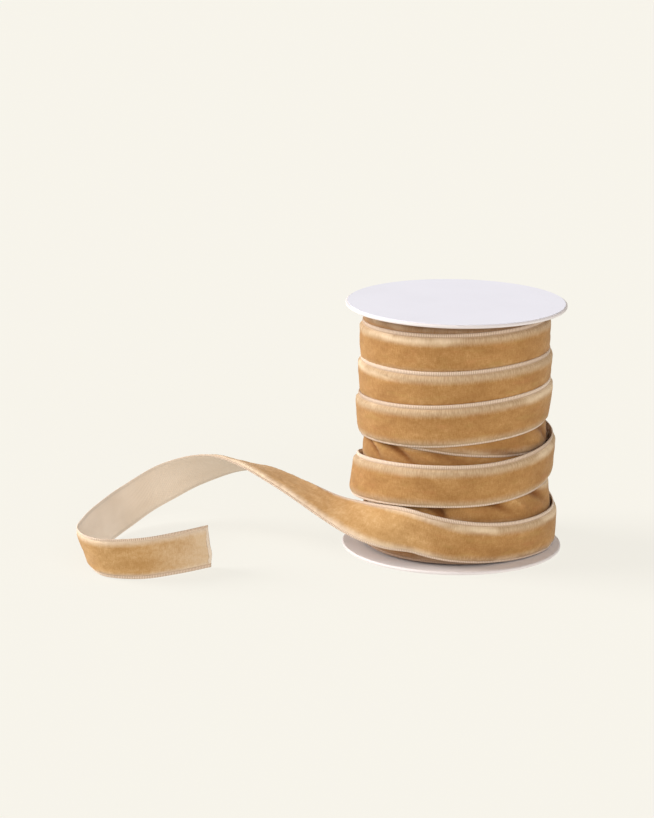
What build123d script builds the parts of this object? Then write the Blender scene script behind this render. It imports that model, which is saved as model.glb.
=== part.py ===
from build123d import *
import math
import os

# A spool of velvet ribbon that stands on its bottom flange, with the ribbon's free end beside it.
# Millimetres, +Z up. The origin is on the spool's axis, at the underside of the bottom flange.

# Driving dimensions of the spool
overall_height = 91.0
flange_radius = 40.0
flange_thickness = 1.2
rim_round = 0.5
core_radius = 21.0
core_wall = 2.0
plug_height = 9.0
plug_wall = 1.2
plug_lead_in = 0.4
spindle_radius = 8.0
boss_wall = 1.5
rib_count = 6
rib_thickness = 1.0
rib_height = 6.0
label_radius = 39.3
label_thickness = 0.2

# Driving dimensions of the ribbon
ribbon_width = 16.0
ribbon_thickness = 1.2
pack_radius = 32.5
pack_bottom = 2.6
pack_top = 89.0
pack_round = 0.8
tape_thickness = 0.2
tape_height = 14.0
tape_angle = 40.0
tape_clearance = 0.05
hinge_gap = 1.2
section_step = 30.0
stretch_spans = 5

# Heights and radii that follow from them
top_flange_face = overall_height - label_thickness
core_bottom = flange_thickness
core_top = top_flange_face - flange_thickness
core_inner_radius = core_radius - core_wall
pack_middle = (pack_bottom + pack_top) / 2

# The outer ribbon, from where it leaves the spool back towards its start: the angle round
# the spool, the height and radius of the strip's middle, and the lean of its top edge outwards.
winding_points = [
    (246.0, 13.9, 37.2, 0.0),
    (275.0, 11.3, 37.2, 7.0),
    (305.0, 9.9, 36.8, 11.0),
    (345.0, 10.5, 36.3, 8.0),
    (440.0, 18.5, 36.0, 5.0),
    (540.0, 28.5, 36.9, -5.0),
    (575.0, 30.6, 36.7, -2.0),
    (610.0, 31.4, 36.3, 4.0),
    (650.0, 32.2, 36.4, 6.0),
    (700.0, 36.3, 36.2, 6.0),
    (800.0, 43.5, 35.5, 5.0),
    (900.0, 49.5, 34.9, 5.0),
    (970.0, 52.1, 34.9, 6.0),
    (1020.0, 55.2, 34.8, 6.0),
    (1060.0, 57.3, 34.7, 6.0),
    (1160.0, 61.2, 34.5, 5.0),
    (1260.0, 63.7, 34.4, 5.0),
    (1330.0, 64.3, 34.4, 6.0),
    (1400.0, 67.6, 34.4, 6.0),
    (1530.0, 73.5, 34.1, 5.0),
    (1620.0, 77.2, 33.9, 5.0),
    (1680.0, 77.9, 33.9, 5.0),
    (1760.0, 79.9, 33.9, 5.0),
    (1980.0, 80.8, 33.9, 5.0),
]

# Where each outer turn ends on that scale, from the loose turn up to the topmost one
turn_ends = {
    "loose_turn": 540.0,
    "winding_turn_4": 900.0,
    "winding_turn_3": 1260.0,
    "winding_turn_2": 1620.0,
    "winding_turn_1": 1980.0,
}

# The free end: the strip's middle, and the roll of its velvet face from the left-hand side
# of travel (0) over the top (90) to the right-hand side (180).
tail_points = [
    (-15.1, -34.0, 13.9, 0.0),
    (-25.0, -30.0, 14.3, 14.0),
    (-43.0, -17.5, 17.5, 72.0),
    (-61.0, -2.0, 24.0, 92.0),
    (-73.0, 9.0, 26.8, 103.0),
    (-84.0, 19.0, 24.0, 126.0),
    (-98.0, 25.5, 19.0, 148.0),
    (-110.0, 25.0, 13.3, 176.0),
    (-120.0, 15.0, 9.2, 200.0),
    (-126.0, -3.0, 8.5, 197.0),
    (-130.0, -25.0, 8.5, 191.0),
    (-131.0, -41.0, 8.0, 202.0),
    (-124.0, -52.0, 8.4, 195.0),
    (-111.0, -53.0, 8.9, 179.0),
    (-98.0, -44.0, 8.6, 177.0),
    (-87.0, -32.5, 8.2, 178.0),
]


def winding_at(angle):
    """Height, radius and lean of the wound ribbon at an angle, between the listed points."""
    for near, far in zip(winding_points, winding_points[1:]):
        if angle <= far[0]:
            share = (angle - near[0]) / (far[0] - near[0])
            return [a + share * (b - a) for a, b in zip(near[1:], far[1:])]
    return winding_points[-1][1:]


def winding_plane(angle):
    """Plane across the wound ribbon: local x runs up its width, local y through its thickness."""
    height, radius, lean = winding_at(angle)
    turn = math.radians(angle)
    outward = Vector(math.cos(turn), math.sin(turn), 0)
    along = Vector(-math.sin(turn), math.cos(turn), 0)
    tilt = math.radians(lean)
    upward = outward * math.sin(tilt) + Vector(0, 0, math.cos(tilt))
    return Plane(origin=outward * radius + Vector(0, 0, height), x_dir=upward, z_dir=along)


def tail_plane(index):
    """Plane across the free end at one of its points, in the same sense as winding_plane."""
    before = Vector(*tail_points[max(index - 1, 0)][:3])
    after = Vector(*tail_points[min(index + 1, len(tail_points) - 1)][:3])
    along = (after - before).normalized()
    left = Vector(0, 0, 1).cross(along).normalized()
    over = along.cross(left)
    roll = math.radians(tail_points[index][3])
    face = left * math.cos(roll) + over * math.sin(roll)
    origin = Vector(*tail_points[index][:3])
    if index == 0:
        origin = origin + along * (hinge_gap / 2)
    return Plane(origin=origin, x_dir=along.cross(face), z_dir=along)


def export_piece(piece, name):
    piece.part.label = name
    export_step(piece.part, f"parts/{name}.step")


os.makedirs("parts", exist_ok=True)

# ---- Flanges: a moulded disc with a plug, a spindle boss and ribs between them ----
flange_planes = {
    "bottom_flange": Plane.XY,
    "top_flange": Plane(origin=(0, 0, top_flange_face), x_dir=(1, 0, 0), z_dir=(0, 0, -1)),
}
for name, outer_face in flange_planes.items():
    inner_face = outer_face.offset(flange_thickness)
    with BuildPart() as flange:
        with BuildSketch(outer_face):
            Circle(flange_radius)
        extrude(amount=flange_thickness)
        rims = flange.edges().filter_by(GeomType.CIRCLE)
        fillet(rims, radius=rim_round)
        with BuildSketch(inner_face):
            Circle(core_inner_radius)
            Circle(core_inner_radius - plug_wall, mode=Mode.SUBTRACT)
        extrude(amount=plug_height)
        plug_rims = flange.edges().filter_by(lambda edge: edge.geom_type == GeomType.CIRCLE
                                             and math.isclose(edge.radius, core_inner_radius))
        chamfer(plug_rims.sort_by_distance(outer_face.origin)[-1], length=plug_lead_in)
        with BuildSketch(inner_face):
            Circle(spindle_radius + boss_wall)
        extrude(amount=plug_height)
        rib_inner = spindle_radius + boss_wall / 2
        rib_outer = core_inner_radius - plug_wall / 2
        with BuildSketch(inner_face):
            with PolarLocations((rib_inner + rib_outer) / 2, rib_count):
                Rectangle(rib_outer - rib_inner, rib_thickness)
        extrude(amount=rib_height)
        with BuildSketch(outer_face):
            Circle(spindle_radius)
        extrude(amount=flange_thickness + plug_height, mode=Mode.SUBTRACT)
    export_piece(flange, name)

# ---- Core: a paperboard tube between the two flanges ----
with BuildPart() as core_tube:
    with BuildSketch(Plane.XY.offset(core_bottom)):
        Circle(core_radius)
        Circle(core_inner_radius, mode=Mode.SUBTRACT)
    extrude(amount=core_top - core_bottom)
export_piece(core_tube, "core_tube")

# ---- Label: a paper disc over the top flange and its spindle hole ----
with BuildPart() as top_label:
    with BuildSketch(Plane.XY.offset(top_flange_face)):
        Circle(label_radius)
    extrude(amount=label_thickness)
export_piece(top_label, "top_label")

# ---- Start tape: a strip round the core that holds the ribbon's first end ----
with BuildPart() as start_tape:
    with BuildSketch(Plane.XZ):
        with Locations((core_radius + tape_thickness / 2, pack_middle)):
            Rectangle(tape_thickness, tape_height)
    revolve(axis=Axis.Z, revolution_arc=tape_angle)
export_piece(start_tape, "start_tape")

# ---- Inner winding: the wound pack, with a pocket over the start tape ----
with BuildPart() as inner_winding:
    with BuildSketch(Plane.XY.offset(pack_bottom)):
        Circle(pack_radius)
        Circle(core_radius, mode=Mode.SUBTRACT)
    extrude(amount=pack_top - pack_bottom)
    outer_rims = inner_winding.edges().filter_by(GeomType.CIRCLE).group_by(SortBy.RADIUS)[-1]
    fillet(outer_rims, radius=pack_round)
    pocket_depth = tape_thickness + tape_clearance
    with BuildSketch(Plane.XZ):
        with Locations((core_radius + pocket_depth / 2, pack_middle)):
            Rectangle(pocket_depth, tape_height + 2 * tape_clearance)
    revolve(axis=Axis.Z, revolution_arc=tape_angle, mode=Mode.SUBTRACT)
export_piece(inner_winding, "inner_winding")

# ---- Outer turns: the strip lofted round the pack, each turn shingled over the one above ----
gap_angle = math.degrees(hinge_gap / 2 / winding_points[0][2])
turn_start = winding_points[0][0] + gap_angle
for name, turn_end in turn_ends.items():
    step_count = math.ceil((turn_end - turn_start) / section_step)
    step = (turn_end - turn_start) / step_count
    with BuildPart() as ribbon_turn:
        for index in range(step_count + 1):
            with BuildSketch(winding_plane(turn_start + index * step)):
                Rectangle(ribbon_width, ribbon_thickness)
        loft()
    export_piece(ribbon_turn, name)
    turn_start = turn_end

# ---- Ribbon tail: the free end, which twists over its crest and curls back on the table.
# It is lofted in stretches, because one loft through the whole half twist turns a section over. ----
with BuildPart() as ribbon_tail:
    for start in range(0, len(tail_points) - 1, stretch_spans):
        for index in range(start, start + stretch_spans + 1):
            with BuildSketch(tail_plane(index)):
                Rectangle(ribbon_width, ribbon_thickness)
        loft()
export_piece(ribbon_tail, "ribbon_tail")

tail_length = sum(math.dist(a[:3], b[:3]) for a, b in zip(tail_points, tail_points[1:]))
print(f"tail length {tail_length:.1f} mm, volume {ribbon_tail.part.volume:.0f} mm3")
print(f"strip section times length {ribbon_width * ribbon_thickness * tail_length:.0f} mm3")
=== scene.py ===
import math

import bpy
import numpy as np
from mathutils import Matrix, Vector


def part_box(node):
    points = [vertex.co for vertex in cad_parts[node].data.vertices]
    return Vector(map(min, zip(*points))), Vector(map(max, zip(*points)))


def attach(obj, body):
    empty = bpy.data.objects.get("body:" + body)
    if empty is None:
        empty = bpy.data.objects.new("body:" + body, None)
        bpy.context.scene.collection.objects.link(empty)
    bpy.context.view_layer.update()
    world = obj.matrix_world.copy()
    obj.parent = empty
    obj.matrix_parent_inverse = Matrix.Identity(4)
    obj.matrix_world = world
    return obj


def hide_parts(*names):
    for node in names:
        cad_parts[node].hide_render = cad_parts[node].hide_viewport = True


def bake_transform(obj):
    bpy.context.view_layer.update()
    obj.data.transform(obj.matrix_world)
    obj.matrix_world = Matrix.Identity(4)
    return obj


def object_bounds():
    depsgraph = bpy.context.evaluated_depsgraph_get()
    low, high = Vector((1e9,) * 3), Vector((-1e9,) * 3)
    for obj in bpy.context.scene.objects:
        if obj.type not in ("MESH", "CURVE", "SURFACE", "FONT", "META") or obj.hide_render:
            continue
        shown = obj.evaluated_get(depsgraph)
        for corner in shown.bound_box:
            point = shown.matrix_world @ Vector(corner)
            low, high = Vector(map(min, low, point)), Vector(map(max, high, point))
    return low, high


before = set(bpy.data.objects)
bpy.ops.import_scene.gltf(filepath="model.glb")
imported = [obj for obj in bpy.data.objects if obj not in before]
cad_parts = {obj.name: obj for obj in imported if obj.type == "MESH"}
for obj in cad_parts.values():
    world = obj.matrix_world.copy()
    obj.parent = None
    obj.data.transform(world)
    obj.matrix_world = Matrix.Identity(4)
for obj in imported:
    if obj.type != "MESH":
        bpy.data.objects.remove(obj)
cad_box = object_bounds()
low, high = (Vector(corner) for corner in cad_box)

# ---------------------------------------------------------------- sizes, in metres
MM = 0.001
RIBBON_WIDTH = 16 * MM
TOOTH_PITCH = 0.65               # mm from one tooth of the woven edge to the next
ROW_STEP = TOOTH_PITCH / 2 * MM  # rows along the strip: two to each tooth
TOOTH_DEPTH = 0.24 * MM
WARP_PITCH = 0.42                # mm between the threads across the back
CORE_RADIUS = 21 * MM

# The ribbon's relief, in millimetres.
HALF_WIDTH = 8.0
HALF_THICKNESS = 0.6
STITCH_FLOOR = 0.38              # the loops of the woven edge stand above this
STITCH_DEPTH = 0.1               # between those loops
BACK_RIB = 0.04
RIM_START = 5.3                  # from here out to the edges the pile is tufted
TUFT_SPREAD = 0.1
TUFT_RISE = 0.06
STRAND_RISE = 0.05
SWELL_RISE = 0.05
CUP = 0.5                        # how far the edges of a wound strip curl inwards
UNDER_CUP = 0.15                 # the same for the layer below it

# Along the free end, in millimetres before its cut.
CREST = 168
CREST_REACH = 32
CREST_LIFT = 0.5                 # how far the pile is raised there
FLAT_END = 200                   # from the cut to here the strip is not cupped
CUP_RETURN = 40                  # and over this length the cup comes back
GROOVE_EDGE = 6.7                # the groove beside the pile is inside this, across the strip
GROOVE_FILL = 0.3
BARE_END = 1.9                   # where the pile has fallen out
BARE_RAGGED = 0.25               # how much the edge of that bare part varies
CUT_FADE = 12                    # the cut's wavy outline fades out over this length

# The outer ribbon, within 3 mm of the CAD model's line, and on under the top turn: angle round
# the spool, height (mm), radius (mm) and outward lean of the top edge (degrees).
WINDING = [
    (246, 14.0, 37.2, 0), (262, 12.1, 36.9, 2), (281, 10.4, 36.0, 8), (304, 9.4, 35.7, 11),
    (325, 9.3, 36.4, 8), (345, 9.4, 37.3, 3), (362, 9.6, 37.5, 1), (385, 11.8, 37.0, 2),
    (440, 17.2, 36.4, 2), (500, 22.2, 36.5, -5), (540, 27.0, 36.5, -7), (575, 29.5, 36.6, -3),
    (610, 30.8, 36.3, 3), (650, 31.9, 36.4, 4), (690, 34.2, 36.1, 4), (720, 35.8, 36.1, 4),
    (750, 37.6, 35.8, 3), (800, 42.3, 35.5, 3), (870, 47.8, 34.9, 4), (900, 49.6, 34.9, 4),
    (970, 52.2, 34.9, 6), (1020, 54.9, 34.8, 6), (1060, 56.3, 34.7, 6), (1085, 56.8, 34.4, 5),
    (1160, 60.4, 34.4, 4), (1230, 62.5, 34.3, 4), (1260, 63.2, 34.3, 4), (1330, 64.3, 34.3, 6),
    (1400, 66.9, 34.3, 6), (1430, 67.2, 34.2, 5), (1455, 67.6, 34.1, 4), (1530, 72.4, 34.0, 4),
    (1590, 75.4, 34.0, 3), (1620, 76.4, 34.1, 2), (1680, 77.7, 33.9, 4), (1760, 79.6, 33.7, 2),
    (1805, 79.9, 33.5, 1), (1900, 81.0, 33.2, 3), (1980, 81.3, 32.8, 2), (2100, 81.3, 32.5, 2),
    (2200, 81.4, 32.1, 1), (2340, 81.4, 31.5, 0),
]
TAIL_ANGLE = 246                 # where the ribbon leaves the spool
LEAD_ANGLE = 262                 # the free end's curve takes its direction from here
SEAMS = [420, 780, 1140, 1500, 1860, 2340]     # angles where the outer pieces meet

# The free end, within 2 mm of the CAD model's line: the strip's middle (mm) and the roll of its
# velvet face (degrees).
TAIL = [
    (-15.1, -34.0, 14.0, 0), (-25.0, -30.5, 15.2, 26), (-43.0, -17.0, 18.2, 74),
    (-61.0, -2.0, 23.8, 94), (-73.0, 9.0, 26.0, 106), (-84.0, 18.5, 24.7, 124),
    (-98.0, 25.0, 19.3, 150), (-110.0, 24.0, 13.5, 176), (-120.0, 13.5, 9.1, 190),
    (-126.5, -4.0, 8.2, 192), (-131.0, -24.0, 7.9, 196), (-131.8, -38.5, 7.6, 200),
    (-125.5, -49.8, 7.8, 198), (-111.5, -52.0, 8.2, 188), (-98.0, -44.0, 8.2, 182),
    (-87.0, -34.5, 8.1, 179),
]

# The layer under the outer turns, which runs the other way: angle, height (mm), radius (mm).
UNDER_LAYER = [
    (-140, 66.0, 31.6), (60, 59.0, 31.8), (242, 51.2, 31.9), (317, 47.7, 32.4),
    (360, 46.6, 32.7), (430, 44.0, 32.2), (540, 40.9, 32.0), (600, 39.0, 31.7),
    (690, 36.8, 32.5), (740, 35.0, 32.5), (820, 31.0, 32.2), (900, 27.5, 32.1),
    (980, 24.0, 32.6), (1040, 21.6, 34.0), (1080, 20.0, 34.8), (1110, 18.4, 34.4),
    (1180, 15.0, 32.6), (1240, 11.5, 32.5), (1300, 10.1, 32.2), (1345, 9.8, 32.2),
    (1390, 9.5, 32.2), (1440, 9.5, 32.2), (1620, 9.5, 32.0),
]

# Folds pressed into that layer: angle and height (mm) where each starts and ends, depth (mm)
# and half width (mm). A positive depth is a hollow.
FOLDS = [
    (186, 43.0, 216, 36.6, 1.1, 0.9), (196, 43.5, 222, 38.6, -0.5, 1.5),
    (214, 43.6, 242, 37.4, 1.3, 1.1), (232, 42.5, 262, 37.5, -0.4, 1.6),
    (246, 42.0, 272, 38.6, 0.5, 1.2), (286, 43.5, 314, 39.0, 0.5, 1.5),
    (330, 49.0, 350, 42.0, 0.9, 1.6), (318, 46.0, 338, 40.0, -0.4, 1.6),
    (248, 24.5, 264, 18.5, 1.8, 1.6), (262, 25.5, 282, 20.0, -0.6, 1.6),
    (276, 26.5, 304, 20.6, 1.3, 1.2), (292, 27.5, 318, 19.5, -0.9, 1.6),
    (306, 29.0, 340, 20.5, 1.1, 1.4), (330, 29.0, 352, 18.0, -0.5, 1.8),
]


# ---------------------------------------------------------------- curves
def smooth_through(knots, values, wanted):
    """Cubic Hermite curve through values at knots, with slopes taken from their neighbours."""
    knots = np.asarray(knots, float)
    values = np.asarray(values, float)
    slopes = np.gradient(values, knots, axis=0)
    span = np.clip(np.searchsorted(knots, wanted, side="right") - 1, 0, len(knots) - 2)
    width = knots[span + 1] - knots[span]
    t = ((wanted - knots[span]) / width)[:, None]
    a, b = values[span], values[span + 1]
    p, q = slopes[span] * width[:, None], slopes[span + 1] * width[:, None]
    return (
        a * (2 * t**3 - 3 * t**2 + 1) + p * (t**3 - 2 * t**2 + t)
        + b * (3 * t**2 - 2 * t**3) + q * (t**3 - t**2)
    )


def winding_path(from_angle, to_angle):
    """Middle line (m) and roll (degrees) of the wound ribbon from one angle to another."""
    count = int(abs(to_angle - from_angle)) + 2
    angles = np.linspace(from_angle, to_angle, count)
    table = np.array(WINDING, float)
    height, radius, lean = smooth_through(table[:, 0], table[:, 1:], angles).T
    turn = np.radians(angles)
    middle = np.stack([radius * np.cos(turn), radius * np.sin(turn), height], 1) * MM
    return middle, -lean


def tail_path():
    """Middle line (m) and roll (degrees) of the free end, from the winding to the cut."""
    table = np.array(TAIL, float)
    before, _ = winding_path(LEAD_ANGLE, LEAD_ANGLE)
    lead = np.append(before[0] / MM, -4.0)
    table = np.vstack([lead, table])
    steps = np.linalg.norm(np.diff(table[:, :3], axis=0), axis=1)
    knots = np.concatenate([[0], np.cumsum(steps)])
    wanted = np.arange(knots[1], knots[-1], 0.5)
    points = smooth_through(knots, table, np.append(wanted, knots[-1]))
    return points[:, :3] * MM, points[:, 3]


def resample(middle, roll, step=ROW_STEP):
    """The same line with evenly spaced rows, and the length from its start to each row."""
    lengths = np.concatenate([[0], np.cumsum(np.linalg.norm(np.diff(middle, axis=0), axis=1))])
    keep = np.concatenate([[True], np.diff(lengths) > 1e-7])
    lengths, middle, roll = lengths[keep], middle[keep], roll[keep]
    rows = np.linspace(0, lengths[-1], int(round(lengths[-1] / step)) + 1)
    middle = np.stack([np.interp(rows, lengths, middle[:, k]) for k in range(3)], 1)
    return smoothed(middle), smoothed(np.interp(rows, lengths, roll)[:, None])[:, 0], rows


def smoothed(values, reach=9):
    """Evens out small corners: a moving bell-shaped mean that keeps the ends."""
    bell = np.exp(-0.5 * (np.arange(-reach, reach + 1) / (reach / 2)) ** 2)
    bell /= bell.sum()
    padded = np.concatenate([
        2 * values[0] - values[reach:0:-1], values, 2 * values[-1] - values[-2:-reach - 2:-1]])
    return np.stack([np.convolve(padded[:, k], bell, "valid") for k in range(values.shape[1])], 1)


def strip_frames(middle, roll):
    """Unit vectors along the strip, out of its velvet face, and up its width."""
    along = np.gradient(middle, axis=0)
    along /= np.linalg.norm(along, axis=1, keepdims=True)
    left = np.cross([0, 0, 1.0], along)
    left /= np.linalg.norm(left, axis=1, keepdims=True)
    over = np.cross(along, left)
    angle = np.radians(roll)[:, None]
    face = left * np.cos(angle) + over * np.sin(angle)
    return along, face, np.cross(along, face)


def add_object(name, data):
    """A new object in the scene for a mesh, lamp or camera."""
    thing = bpy.data.objects.new(name, data)
    bpy.context.scene.collection.objects.link(thing)
    return thing


# ---------------------------------------------------------------- the ribbon's section
# Across the strip (mm from its middle) and up from its back (mm), from the upper edge to the
# lower: the pile stands back from the upper woven edge and leans over the lower one.
PROFILE = {
    "selvage": [(8.0, 0.15), (7.78, 0.48), (7.3, 0.52), (6.9, 0.42), (6.6, 0.2), (6.4, 0.24)],
    "pile": [
        (6.25, 0.55), (6.05, 0.88), (5.8, 1.1), (5.4, 1.22), (4.9, 1.26), (4.3, 1.25), (3.6, 1.22),
        (2.85, 1.2), (1.9, 1.2), (0.95, 1.2), (0.0, 1.2), (-0.95, 1.2), (-1.9, 1.2),
        (-2.85, 1.2), (-3.8, 1.2), (-4.7, 1.2), (-5.5, 1.16), (-6.1, 1.05), (-6.5, 0.9),
        (-6.8, 0.72), (-6.95, 0.5)],
    "lower selvage": [(-7.1, 0.36), (-7.4, 0.53), (-7.8, 0.5), (-8.0, 0.15)],
    "back": [
        (-7.8, 0.0), (-5.2, 0.0), (-2.6, 0.0), (0.0, 0.0), (2.6, 0.0), (5.2, 0.0), (7.8, 0.0)],
}
ZONES = ["pile", "selvage", "back"]


def section():
    """The closed section: points (across, up), their zones, and the zone of the face after each."""
    points, zones = [], []
    for zone, part in PROFILE.items():
        points += part
        zones += [zone.split()[-1]] * len(part)
    face_zones = list(zones)
    face_zones[len(PROFILE["selvage"]) - 1] = "pile"
    face_zones[-1] = "selvage"
    return np.array(points), np.array(zones), face_zones


def wave_noise(rng, rows, across, length, width, count=24):
    """Soft seeded undulation over the strip, about one unit high: length and width in mm."""
    total = np.zeros((len(rows), len(across)))
    for _ in range(count):
        turn = rng.uniform(0, 2 * math.pi)
        pace = rng.uniform(0.5, 1.5)
        along = math.cos(turn) * pace / length
        aside = math.sin(turn) * pace / width
        phase = rng.uniform(0, 2 * math.pi)
        total += np.cos(2 * math.pi * (rows[:, None] * along + across[None, :] * aside) + phase)
    return total / math.sqrt(count / 2)


def ribbon_relief(rng, rows, points, zones, cup):
    """Across and up (mm) at each point: teeth, stitches, ribs, tufts, a soft swell and the cup."""
    count = len(rows)
    across = np.repeat(points[None, :, 0], count, 0)
    up = np.repeat(points[None, :, 1], count, 0)
    tips = np.abs(points[:, 0]) > HALF_WIDTH - 0.01
    across[1::2, tips] *= 1 - 2 * TOOTH_DEPTH / RIBBON_WIDTH
    stitches = (zones == "selvage") & (points[:, 1] > STITCH_FLOOR)
    up[1::2, stitches] -= STITCH_DEPTH
    up[1::2, zones == "back"] += BACK_RIB
    pile = zones == "pile"
    tuft = smoothed(rng.normal(0, 1, (count, 2)), 3)
    strand = smoothed(rng.normal(0, 1, (count, 2)), 2)
    for side, column in ((1, 0), (-1, 1)):
        rim = (np.sign(points[:, 0]) == side) & (np.abs(points[:, 0]) > RIM_START) & pile
        across[:, rim] += side * TUFT_SPREAD * tuft[:, column, None]
        up[:, rim] += TUFT_RISE * tuft[:, column, None] + STRAND_RISE * strand[:, column, None]
    swell = wave_noise(rng, rows / MM, points[:, 0], 9, 5)
    up += np.where(pile[None, :], SWELL_RISE * swell, 0)
    up -= np.reshape(cup, (-1, 1)) * np.abs(across / HALF_WIDTH) ** 3
    return across, up


def free_end_relief(rng, left, points, zones, up):
    """The free end's own relief, and which of its points have lost their pile."""
    pile = zones == "pile"
    up[:, pile] += CREST_LIFT * np.exp(-(((left - CREST) / CREST_REACH) ** 2))[:, None]
    groove = (np.abs(points[:, 0]) < GROOVE_EDGE) & (zones == "selvage")
    up[:, groove] += GROOVE_FILL * (left < FLAT_END)[:, None]
    ragged = wave_noise(rng, np.zeros(1), points[:, 0], 9, 2.6)[0]
    gone = (left[:, None] < BARE_END + BARE_RAGGED * ragged[None, :]) & pile[None, :]
    bare = 0.42 + 0.1 * (np.arange(len(left)) % 2)[:, None]
    return np.where(gone, bare, up), gone


def cut_outline(left, across):
    """How far (mm) each point near the cut is pushed along the strip, so that the cut is wavy."""
    share = np.clip(1 - left / CUT_FADE, 0, 1)[:, None] ** 2
    wavy = 0.9 * np.exp(-((across - 2.8) / 3) ** 2) + 0.09 * across - 0.4
    return share * wavy


def strip_mesh(name, position, zone_index, strip):
    """Closed mesh over rows of section points, with its materials and its strip coordinates."""
    count, size = position.shape[:2]
    row = np.arange(count - 1)[:, None] * size
    column = np.arange(size)[None, :]
    following = (column + 1) % size
    corners = [row + column, row + following, row + size + following, row + size + column]
    quads = np.stack(corners, -1).reshape(-1, 4).tolist()
    caps = [list(range(size))[::-1], [(count - 1) * size + k for k in range(size)]]
    mesh = bpy.data.meshes.new(name)
    mesh.from_pydata(position.reshape(-1, 3).tolist(), [], quads + caps)
    for zone in ZONES:
        mesh.materials.append(ribbon_materials[zone])
    mesh.polygons.foreach_set("material_index", zone_index)
    mesh.polygons.foreach_set("use_smooth", np.ones(len(zone_index), bool))
    attribute = mesh.attributes.new("strip", "FLOAT_VECTOR", "POINT")
    attribute.data.foreach_set("vector", strip.astype(np.float32).ravel())
    mesh.update()
    return mesh


def build_ribbon(name, middle, roll, rows, seed, folds=None, light_shade_and_nap=None, cut=False, cup=CUP):
    """A closed strip of velvet ribbon along a line, with toothed edges and raised pile."""
    rng = np.random.default_rng(seed)
    along, face, width = strip_frames(middle, roll)
    points, zones, face_zones = section()
    count, size = len(rows), len(points)
    across, up = ribbon_relief(rng, rows, points, zones, cup)
    zone_index = np.tile([ZONES.index(zone) for zone in face_zones], count - 1)
    if cut:
        left = (rows[-1] - rows) / MM
        up, gone = free_end_relief(rng, left, points, zones, up)
        zone_index[gone[:-1].ravel()] = ZONES.index("back")
    caps = [ZONES.index("back")] * 2
    offset = (up - HALF_THICKNESS) * MM
    position = (
        middle[:, None, :] + width[:, None, :] * across[:, :, None] * MM
        + face[:, None, :] * offset[:, :, None]
    )
    if cut:
        position += along[:, None, :] * (cut_outline(left, across) * MM)[:, :, None]
    shade = np.zeros((count, size))
    # Painted light and shade along the strip, from the function given: shade on the turns in shade,
    # sheen and light on the free end.
    if light_shade_and_nap is not None:
        shade += light_shade_and_nap(rows)[:, None]
    if folds is not None:
        push = folds(position)
        position += face[:, None, :] * push[:, :, None] * MM
        # Painted shade in the folds' hollows and a painted highlight on their ridges.
        shade += np.where(push < 0, 0.9 * push, 0.5 * push)
    strip = np.stack([np.repeat(rows + seed, size), across.ravel() * MM, shade.ravel()], 1)
    zone_index = np.append(zone_index, caps).astype(np.int32)
    return add_object(name, strip_mesh(name, position, zone_index, strip))


def fold_depth(position):
    """How far (mm) the folds push the under layer in or out at each point."""
    angle = np.degrees(np.arctan2(position[..., 1], position[..., 0])) % 360
    height = position[..., 2] / MM
    arc = math.radians(1) * UNDER_LAYER[0][2]
    push = np.zeros(angle.shape)
    for start, top_end, end, low_end, depth, half in FOLDS:
        line = np.array([(end - start) * arc, low_end - top_end])
        length = np.linalg.norm(line)
        line /= length
        x, y = (angle - start) * arc, height - top_end
        run = x * line[0] + y * line[1]
        off = -x * line[1] + y * line[0]
        bend = off - 1.2 * np.sin(run / length * 3.1)
        fade = np.clip(1.15 - np.abs(run / length - 0.5) * 1.6, 0, 1)
        push -= depth * np.exp(-0.5 * (bend / half * 1.6) ** 2) * fade ** 2 * (3 - 2 * fade)
    return push


# ---------------------------------------------------------------- materials
def srgb(red, green, blue):
    """Linear colour of an 8-bit sRGB one."""
    shares = [channel / 255 for channel in (red, green, blue)]
    return tuple(s / 12.92 if s <= 0.04045 else ((s + 0.055) / 1.055) ** 2.4 for s in shares)


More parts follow.
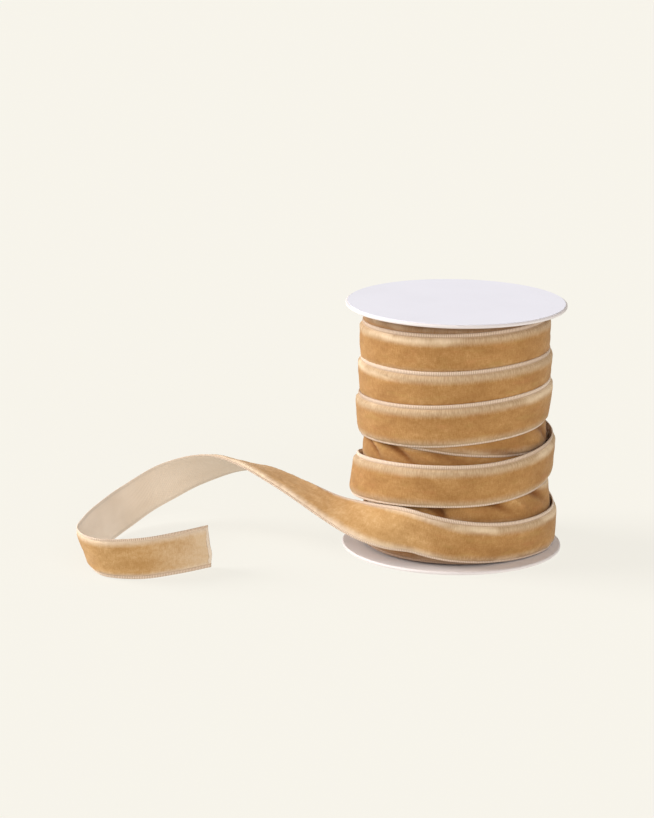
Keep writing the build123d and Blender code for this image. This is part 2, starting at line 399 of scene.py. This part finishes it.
class Nodes:
    """Short way to add nodes to a material: values and links go to sockets by name or number."""

    def __init__(self, name, **sockets):
        self.material = bpy.data.materials.new(name)
        self.material.use_nodes = True
        self.tree = self.material.node_tree
        self.shader = self.tree.nodes["Principled BSDF"]
        self.wire(self.shader, {key.replace("_", " "): value for key, value in sockets.items()})

    def wire(self, node, sockets):
        for key, value in sockets.items():
            socket = node.inputs[key]
            if isinstance(value, bpy.types.NodeSocket):
                self.tree.links.new(value, socket)
            else:
                socket.default_value = value

    def add(self, kind, sockets=(), **settings):
        node = self.tree.nodes.new("ShaderNode" + kind)
        for key, value in settings.items():
            setattr(node, key, value)
        self.wire(node, dict(sockets))
        return node.outputs

    def math(self, operation, a, b=0.0, c=0.0):
        return self.add("Math", {0: a, 1: b, 2: c}, operation=operation)[0]

    def scaled(self, vector, x, y, z=0.0):
        """Vector multiplied part by part."""
        return self.add("VectorMath", {0: vector, 1: (x, y, z)}, operation="MULTIPLY")[0]

    def noise(self, vector, detail=2.0, roughness=0.5, scale=1.0):
        sockets = {"Vector": vector, "Scale": scale, "Detail": detail, "Roughness": roughness}
        return self.add("TexNoise", sockets)[0]

    def ramp(self, value, stops):
        node = self.tree.nodes.new("ShaderNodeValToRGB")
        elements = node.color_ramp.elements
        while len(elements) < len(stops):
            elements.new(0.5)
        for element, (place, colour) in zip(elements, stops):
            element.position = place
            element.color = (*colour, 1)
        self.wire(node, {0: value})
        return node.outputs[0]

    def step(self, value, start, end, low=0.0, high=1.0):
        """Smooth step of a value between two limits."""
        sockets = {
            "Value": value, "From Min": start, "From Max": end, "To Min": low, "To Max": high}
        return self.add("MapRange", sockets, interpolation_type="SMOOTHSTEP")[0]

    def mix(self, share, a, b, blend="MIX"):
        node = self.tree.nodes.new("ShaderNodeMix")
        node.data_type = "RGBA"
        node.blend_type = blend
        a = (*a, 1) if isinstance(a, tuple) else a
        b = (*b, 1) if isinstance(b, tuple) else b
        self.wire(node, {0: share, 6: a, 7: b})
        return node.outputs[2]

    def bump(self, height, strength, distance):
        sockets = {"Height": height, "Strength": strength, "Distance": distance}
        self.wire(self.shader, {"Normal": self.add("Bump", sockets)[0]})

    def colour(self, socket):
        self.wire(self.shader, {"Base Color": socket})
        return self.material


def strip_coordinates(nodes):
    """Millimetres along and across the strip, and the painted light and shade it carries: below
    nought painted shade, above it painted sheen, highlight and paler nap.
    """
    vector = nodes.add("Attribute", attribute_name="strip")[1]
    place = nodes.scaled(vector, 1000, 1000)
    parts = nodes.add("SeparateXYZ", {0: place})
    painted_light_and_nap = nodes.add("SeparateXYZ", {0: vector})[2]
    return place, parts[0], parts[1], painted_light_and_nap


def wave(nodes, distance, pitch):
    """A sine over a distance, one turn to each pitch (mm)."""
    return nodes.math("SINE", nodes.math("MULTIPLY", distance, 2 * math.pi / pitch))


def velvet_gold(nodes, place, mixed, painted_light_and_nap):
    """The pile's gold, painted brighter and paler where the strip carries painted sheen and light.
    """
    gold = nodes.ramp(mixed, [
        (0.4, srgb(152, 108, 62)), (0.48, srgb(164, 120, 71)),
        (0.53, srgb(171, 127, 77)), (0.62, srgb(187, 144, 94))])
    tone = nodes.noise(nodes.scaled(place, 0.1, 0.35), 2.0, 0.5)
    gold = nodes.mix(nodes.step(tone, 0.55, 0.75, 0.0, 0.3), gold, srgb(177, 120, 76))
    gold = nodes.mix(nodes.step(tone, 0.45, 0.28, 0.0, 0.3), gold, srgb(164, 132, 76))
    # Painted light: a brighter gold where the free end faces the lamps, and palest over its crest
    # and near its cut.
    lit_gold = nodes.ramp(mixed, [
        (0.4, srgb(174, 132, 82)), (0.53, srgb(190, 149, 99)), (0.62, srgb(206, 167, 120))])
    light_shade_and_nap = nodes.math("MULTIPLY", painted_light_and_nap, nodes.step(mixed, 0.4, 0.6, 0.85, 1.1))
    gold = nodes.mix(nodes.step(light_shade_and_nap, 0.0, 0.5), gold, lit_gold)
    return nodes.mix(nodes.step(light_shade_and_nap, 0.45, 1.05), gold, srgb(208, 182, 150))


def velvet_border(nodes, across, loose, painted_light_and_nap):
    """Where the pile's edge is paler: a wide border at the upper edge, widened as painted light
    from above, and a narrow one below.
    """
    narrower = nodes.step(painted_light_and_nap, 0.0, 0.35, 0.0, 1.9)
    inner = nodes.math("SUBTRACT", nodes.math("ADD", across, loose), narrower)
    upper = nodes.step(inner, 2.7, 5.6)
    shifted = nodes.math("MULTIPLY_ADD", narrower, 0.3, across)
    lower = nodes.step(nodes.math("SUBTRACT", loose, shifted), 3.8, 7.6)
    return nodes.math("MULTIPLY", nodes.math("MAXIMUM", upper, lower), 0.9)


def velvet_pale(nodes, place, fibre, painted_light_and_nap):
    """The colour of that pale border, paler where the strip carries painted light, with painted
    highlights in spots.
    """
    pale = nodes.mix(nodes.step(fibre, 0.3, 0.7), srgb(172, 143, 111), srgb(198, 172, 141))
    pale = nodes.mix(nodes.step(painted_light_and_nap, 0.1, 0.3), pale, srgb(220, 202, 182))
    # Painted highlight: bright spots on the pile's edge.
    painted_glint = nodes.noise(nodes.scaled(place, 0.045, 0.1), 2.0, 0.5)
    return nodes.mix(nodes.step(painted_glint, 0.52, 0.66, 0.0, 0.6), pale, srgb(236, 213, 182))


def velvet_material():
    """Cut pile: four noises mixed into the gold, a pale border, and painted shade in the folds'
    hollows and on shaded turns.
    """
    nodes = Nodes("velvet_pile", Roughness=0.9, Sheen_Weight=0.18, Sheen_Roughness=0.45,
                  Sheen_Tint=(1.0, 0.85, 0.7, 1), Specular_IOR_Level=0.1)
    place, along, across, painted_light_and_nap = strip_coordinates(nodes)
    cloud = nodes.noise(nodes.scaled(place, 0.09, 0.17), 3.0, 0.55)
    mottle = nodes.noise(nodes.scaled(place, 0.5, 0.6), 3.0, 0.6)
    grain = nodes.noise(nodes.scaled(place, 2.2, 2.0), 3.0, 0.7)
    fibre = nodes.noise(nodes.scaled(place, 3.2, 0.45), 2.0, 0.6)
    mixed = nodes.math("MULTIPLY_ADD", cloud, 0.32, nodes.math("MULTIPLY", mottle, 0.22))
    mixed = nodes.math("MULTIPLY_ADD", grain, 0.25, mixed)
    mixed = nodes.math("MULTIPLY_ADD", fibre, 0.21, mixed)
    gold = velvet_gold(nodes, place, mixed, painted_light_and_nap)
    loose = nodes.math("MULTIPLY_ADD", fibre, 0.5, nodes.math("MULTIPLY_ADD", cloud, 1.0, -1.1))
    loose = nodes.math("MULTIPLY_ADD", mottle, 0.7, loose)
    edge = velvet_border(nodes, across, loose, painted_light_and_nap)
    colour = nodes.mix(edge, gold, velvet_pale(nodes, place, fibre, painted_light_and_nap))
    # Painted shade: dark brown where the strip carries shade, in the folds' hollows and on shaded
    # turns.
    painted_shade = nodes.math("MINIMUM", nodes.math("MULTIPLY", painted_light_and_nap, -0.75), 0.8)
    colour = nodes.mix(nodes.math("MAXIMUM", painted_shade, 0.0), colour, srgb(112, 62, 24))
    height = nodes.math("MULTIPLY_ADD", fibre, 0.8, grain)
    relief = nodes.math("MULTIPLY_ADD", wave(nodes, along, TOOTH_PITCH), 0.06, height)
    nodes.bump(relief, 0.55, 0.00012)
    return nodes.colour(colour)


def selvage_material():
    """Woven edge: stitches, painted shade in the groove beside the pile, and painted shade where
    the strip carries it.
    """
    nodes = Nodes("ribbon_selvage", Roughness=0.8, Sheen_Weight=0.15, Sheen_Roughness=0.5,
                  Specular_IOR_Level=0.2)
    place, along, across, painted_light_and_nap = strip_coordinates(nodes)
    stitch = wave(nodes, along, TOOTH_PITCH)
    thread = nodes.noise(nodes.scaled(place, 2.2, 1.5), 2.0, 0.6)
    level = nodes.math("MULTIPLY_ADD", stitch, 0.3, nodes.math("MULTIPLY_ADD", thread, 0.5, 0.25))
    colour = nodes.ramp(level, [(0.25, srgb(178, 151, 127)), (0.75, srgb(228, 206, 185))])
    distance = nodes.math("ABSOLUTE", across)
    # Painted shade in the groove beside the pile.
    groove = nodes.step(distance, 6.9, 6.65)
    colour = nodes.mix(nodes.math("MULTIPLY", groove, 0.8), colour, srgb(176, 148, 122))
    # Painted shade, as on the pile.
    painted_shade = nodes.math("MULTIPLY", painted_light_and_nap, -0.75)
    colour = nodes.mix(nodes.math("MAXIMUM", painted_shade, 0.0), colour, srgb(112, 66, 30))
    nodes.bump(nodes.math("MULTIPLY_ADD", stitch, 0.5, thread), 0.5, 0.00006)
    return nodes.colour(colour)


def back_material():
    """Plain ribbed back, with painted shade where the strip goes over its crest and near its cut.
    """
    nodes = Nodes("ribbon_back", Roughness=0.75, Sheen_Weight=0.12, Sheen_Roughness=0.5,
                  Specular_IOR_Level=0.25)
    place, along, across, painted_light_and_nap = strip_coordinates(nodes)
    rib = wave(nodes, along, TOOTH_PITCH)
    thread = wave(nodes, across, WARP_PITCH)
    weave = nodes.math("MULTIPLY_ADD", thread, 0.35, rib)
    cloud = nodes.noise(nodes.scaled(place, 0.05, 0.12), 2.0, 0.5)
    level = nodes.math("MULTIPLY_ADD", weave, 0.12, cloud)
    colour = nodes.ramp(level, [(0.25, srgb(224, 206, 187)), (0.75, srgb(242, 226, 209))])
    distance = nodes.math("ABSOLUTE", across)
    seam = nodes.math("MULTIPLY", nodes.step(distance, 6.6, 7.0), nodes.step(distance, 7.6, 7.2))
    colour = nodes.mix(nodes.math("MULTIPLY", seam, 0.4), colour, srgb(196, 182, 168))
    # Painted shade on the back over the free end's crest and near its cut.
    crest_shade = nodes.step(painted_light_and_nap, 0.33, 0.5)
    colour = nodes.mix(nodes.math("MULTIPLY", crest_shade, 0.45), colour, srgb(196, 176, 152))
    nodes.bump(weave, 0.5, 0.00006)
    return nodes.colour(colour)


def plastic_material(name, base, roughness):
    """Smooth moulded surface with a faint flow pattern."""
    nodes = Nodes(name, Roughness=roughness)
    place = nodes.add("TexCoord")["Object"]
    flow = nodes.noise(nodes.scaled(place, 60, 60, 60), 2.0)
    fine = nodes.noise(nodes.scaled(place, 2500, 2500, 2500), 2.0)
    colour = nodes.mix(nodes.step(flow, 0.3, 0.7), tuple(c * 0.965 for c in base), base)
    nodes.bump(fine, 0.12, 0.00003)
    return nodes.colour(colour)


def paper_material(name, base, speck):
    """Matt fibrous surface in two close colours."""
    nodes = Nodes(name, Roughness=0.72, Specular_IOR_Level=0.3)
    place = nodes.add("TexCoord")["Object"]
    fibres = nodes.noise(nodes.scaled(place, 900, 2400, 900), 4.0, 0.65)
    cloud = nodes.noise(nodes.scaled(place, 45, 45, 45), 3.0)
    level = nodes.math("MULTIPLY_ADD", fibres, 0.35, nodes.math("MULTIPLY", cloud, 0.65))
    colour = nodes.ramp(level, [(0.35, speck), (0.62, base)])
    nodes.bump(fibres, 0.2, 0.00004)
    return nodes.colour(colour)


ribbon_materials = {
    "pile": velvet_material(), "selvage": selvage_material(), "back": back_material()}

# ---------------------------------------------------------------- the outer ribbon
OUTER_TURNS = [
    ("ribbon_turn_4", "winding_turn_4"), ("ribbon_turn_3", "winding_turn_3"),
    ("ribbon_turn_2", "winding_turn_2"), ("ribbon_turn_1", "winding_turn_1"),
    ("ribbon_turn_0", "winding_turn_1"),
]


def top_turn_painted_shade(lengths):
    """Painted shade on the turn under the top flange, which is in its shade."""
    return np.interp(lengths[-1] - lengths, [0.04, 0.09], [0, -0.5])


def build_outer_turns():
    """The four wound turns that show, and the one that goes on under the top flange."""
    for number, (name, stands_for) in enumerate(OUTER_TURNS):
        start, end = SEAMS[number], SEAMS[number + 1]
        middle, roll, rows = resample(*winding_path(end, start))
        light_shade_and_nap = top_turn_painted_shade if name == "ribbon_turn_0" else None
        piece = build_ribbon(name, middle, roll, rows, number + 1, light_shade_and_nap=light_shade_and_nap)
        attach(piece, "spool")
        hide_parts(stands_for)


# How much painted sheen and light the free end's nap gets, against the distance before its cut
# (mm): much over the crest, palest towards the cut.
FREE_END_SHEEN_AND_NAP = [
    (0, 1.05), (10, 0.8), (30, 0.55), (50, 0.36), (70, 0.3), (160, 0.62), (235, 0.5), (268, 0.0)]


def free_end_sheen_and_nap(lengths):
    """Painted sheen and light: the nap is painted paler over the crest and along the free end, and
    palest towards the cut end.
    """
    left, painted_light_and_nap = np.transpose(FREE_END_SHEEN_AND_NAP)
    return np.interp((lengths[-1] - lengths) / MM, left, painted_light_and_nap)


def build_free_end():
    """The loose turn and the free end in one strip."""
    wound, wound_roll = winding_path(SEAMS[0], TAIL_ANGLE)
    free, free_roll = tail_path()
    middle = np.vstack([wound[:-1], free])
    roll = np.concatenate([wound_roll[:-1], free_roll])
    middle, roll, rows = resample(middle, roll)
    cupped = np.clip(((rows[-1] - rows) / MM - FLAT_END) / CUP_RETURN, 0, 1)
    piece = build_ribbon(
        "ribbon_free_end", middle, roll, rows, 9, light_shade_and_nap=free_end_sheen_and_nap, cut=True, cup=CUP * cupped)
    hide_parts("loose_turn", "ribbon_tail")
    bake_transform(piece)


# ---------------------------------------------------------------- the layer under it
UNDER_LEAN = 6.0                 # degrees that its face rolls up
UNDER_STEP = 1.5 * ROW_STEP


def under_layer_painted_shade(lengths):
    """Painted shade: its lowest turn, where the strip starts, is painted deep dark, and the rest of
    the layer a little darker.
    """
    return np.interp(lengths, [0.20, 0.26], [-0.75, -0.2])


def build_under_layer():
    """The layer seen in the gaps between the outer turns, with the folds pressed into it."""
    table = np.array(UNDER_LAYER, float)
    angles = np.arange(table[0, 0], table[-1, 0], 1.0)[::-1]
    heights, radii = smooth_through(table[:, 0], table[:, 1:], angles).T
    turn = np.radians(angles)
    middle = np.stack([radii * np.cos(turn), radii * np.sin(turn), heights], 1) * MM
    middle, roll, rows = resample(middle, np.full(len(angles), UNDER_LEAN), UNDER_STEP)
    piece = build_ribbon("ribbon_under_layer", middle, roll, rows, 21, folds=fold_depth,
                         cup=UNDER_CUP, light_shade_and_nap=under_layer_painted_shade)
    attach(piece, "spool")
    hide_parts("inner_winding")


# ---------------------------------------------------------------- the pack inside it
LAYER = 1.2 * MM
PACK_RADIUS = 31.2 * MM
PACK_GROOVE = 0.5 * MM           # how far each layer's edge stands out of the gaps beside it
PACK_STEPS = 160                 # round the spool


def pack_section(pack_low, pack_high):
    """The pack's closed section: radius and height, with the layers' edges at both ends."""
    profile = []
    radius = CORE_RADIUS + 0.1 * MM
    while radius + LAYER < PACK_RADIUS:
        profile.append((radius, 0.0))
        profile.append((radius + 0.25 * LAYER, PACK_GROOVE))
        profile.append((radius + 0.75 * LAYER, PACK_GROOVE))
        radius += LAYER
    profile.append((radius, 0.0))
    bottom = pack_low.z - 0.6 * MM
    top = pack_high.z - 0.5 * MM
    lower = [(r, bottom - z) for r, z in profile]
    upper = [(r, top + z) for r, z in reversed(profile)]
    return lower + upper


def build_wound_pack():
    """The wound ribbon below the under layer, as one turned solid with ridged ends."""
    ring = pack_section(*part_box("inner_winding"))
    vertices = []
    for step in range(PACK_STEPS):
        turn = 2 * math.pi * step / PACK_STEPS
        vertices += [(r * math.cos(turn), r * math.sin(turn), z) for r, z in ring]
    size = len(ring)
    faces = []
    for step in range(PACK_STEPS):
        here = step * size
        there = (step + 1) % PACK_STEPS * size
        for k in range(size):
            following = (k + 1) % size
            faces.append((here + k, there + k, there + following, here + following))
    mesh = bpy.data.meshes.new("wound_pack")
    mesh.from_pydata(vertices, [], faces)
    mesh.materials.append(paper_material("pack_edges", srgb(190, 152, 106), srgb(140, 98, 54)))
    mesh.update()
    piece = add_object("wound_pack", mesh)
    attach(piece, "spool")
    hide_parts("inner_winding")


# ---------------------------------------------------------------- plastic, paper and board
def dress_cad_nodes():
    """Materials for the pieces that stay as the CAD made them."""
    white = plastic_material("flange_plastic", srgb(226, 217, 215), 0.55)
    label = paper_material("label_paper", srgb(227, 225, 234), srgb(224, 222, 231))
    board = paper_material("core_board", srgb(196, 172, 140), srgb(164, 138, 106))
    tape = plastic_material("start_tape_film", srgb(226, 220, 196), 0.25)
    for node, material in (("bottom_flange", white), ("top_flange", white), ("top_label", label),
                           ("core_tube", board), ("start_tape", tape)):
        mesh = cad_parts[node].data
        mesh.materials.clear()
        mesh.materials.append(material)


# ---------------------------------------------------------------- floor, light and camera
BACKGROUND = srgb(246, 243, 234)
FLOOR_RADIUS = 8
FLOOR_SHARE = 0.13               # how much of the floor's brightness comes from the lamps
WORLD_STRENGTH = 0.37            # on the object; the camera sees the background at 1

# Each lamp: name, compass bearing and height of where it shines from, width (degrees), strength.
LAMPS = [("key_from_left", 172, 26, 40, 4.1), ("fill_from_right", 289, 25, 50, 1.66)]

CAMERA_PITCH = math.radians(14.0)
CAMERA_ROLL = math.radians(0.71)
CAMERA_LENS = 140
CAMERA_WIDTHS = 6.607            # its distance, in widths of the object
AIM_ASIDE = 0.0013               # right of the object's middle
AIM_SHARE = 0.5532               # of the object's height


def build_floor():
    """A wide table that is almost all background colour, with soft shadows on it."""
    turns = [k * math.pi / 32 for k in range(64)]
    corners = [(FLOOR_RADIUS * math.cos(t), FLOOR_RADIUS * math.sin(t), 0) for t in turns]
    mesh = bpy.data.meshes.new("floor")
    mesh.from_pydata(corners, [], [list(range(len(corners)))])
    lit = tuple(c * FLOOR_SHARE for c in BACKGROUND)
    nodes = Nodes("floor_paper", Roughness=1.0, Base_Color=(*lit, 1),
                  Emission_Color=(*BACKGROUND, 1), Emission_Strength=1 - 1.04 * FLOOR_SHARE,
                  Specular_IOR_Level=0)
    mesh.materials.append(nodes.material)
    add_object("floor", mesh)


def light_world():
    """Even light from all round, in the background's colour."""
    world = bpy.data.worlds.new("studio")
    bpy.context.scene.world = world
    world.use_nodes = True
    links = world.node_tree.links
    nodes = world.node_tree.nodes
    paths = nodes.new("ShaderNodeLightPath")
    level = nodes.new("ShaderNodeMapRange")
    level.inputs["To Min"].default_value = WORLD_STRENGTH
    level.inputs["To Max"].default_value = 1.0
    links.new(paths.outputs["Is Camera Ray"], level.inputs["Value"])
    links.new(level.outputs[0], nodes["Background"].inputs[1])
    nodes["Background"].inputs[0].default_value = (*BACKGROUND, 1)


def add_lamps():
    """The two wide lamps."""
    for name, bearing, rise, spread, strength in LAMPS:
        light = bpy.data.lights.new(name, "SUN")
        light.energy = strength
        light.angle = math.radians(spread)
        bearing = math.radians(bearing)
        rise = math.radians(rise)
        level = math.cos(rise)
        place = Vector((math.cos(bearing) * level, math.sin(bearing) * level, math.sin(rise)))
        lamp = add_object(name, light)
        lamp.location = place
        lamp.rotation_euler = (-place).to_track_quat("-Z", "Y").to_euler()


def add_camera():
    """The camera that the photograph's outlines were solved for."""
    aim = Vector(((low.x + high.x) / 2 + AIM_ASIDE, 0, AIM_SHARE * high.z))
    forward = Vector((0, math.cos(CAMERA_PITCH), -math.sin(CAMERA_PITCH)))
    upward = Vector((0, math.sin(CAMERA_PITCH), math.cos(CAMERA_PITCH)))
    sideways = Vector((1, 0, 0))
    right = math.cos(CAMERA_ROLL) * sideways + math.sin(CAMERA_ROLL) * upward
    top = math.cos(CAMERA_ROLL) * upward - math.sin(CAMERA_ROLL) * sideways
    data = bpy.data.cameras.new("camera")
    data.lens = CAMERA_LENS
    camera = add_object("camera", data)
    rotation = Matrix((right, top, -forward)).transposed().to_4x4()
    distance = CAMERA_WIDTHS * (high.x - low.x)
    camera.matrix_world = Matrix.Translation(aim - forward * distance) @ rotation
    bpy.context.scene.camera = camera


build_outer_turns()
build_free_end()
build_under_layer()
build_wound_pack()
dress_cad_nodes()
build_floor()
light_world()
add_lamps()
add_camera()
bpy.context.scene.view_settings.view_transform = "Standard"
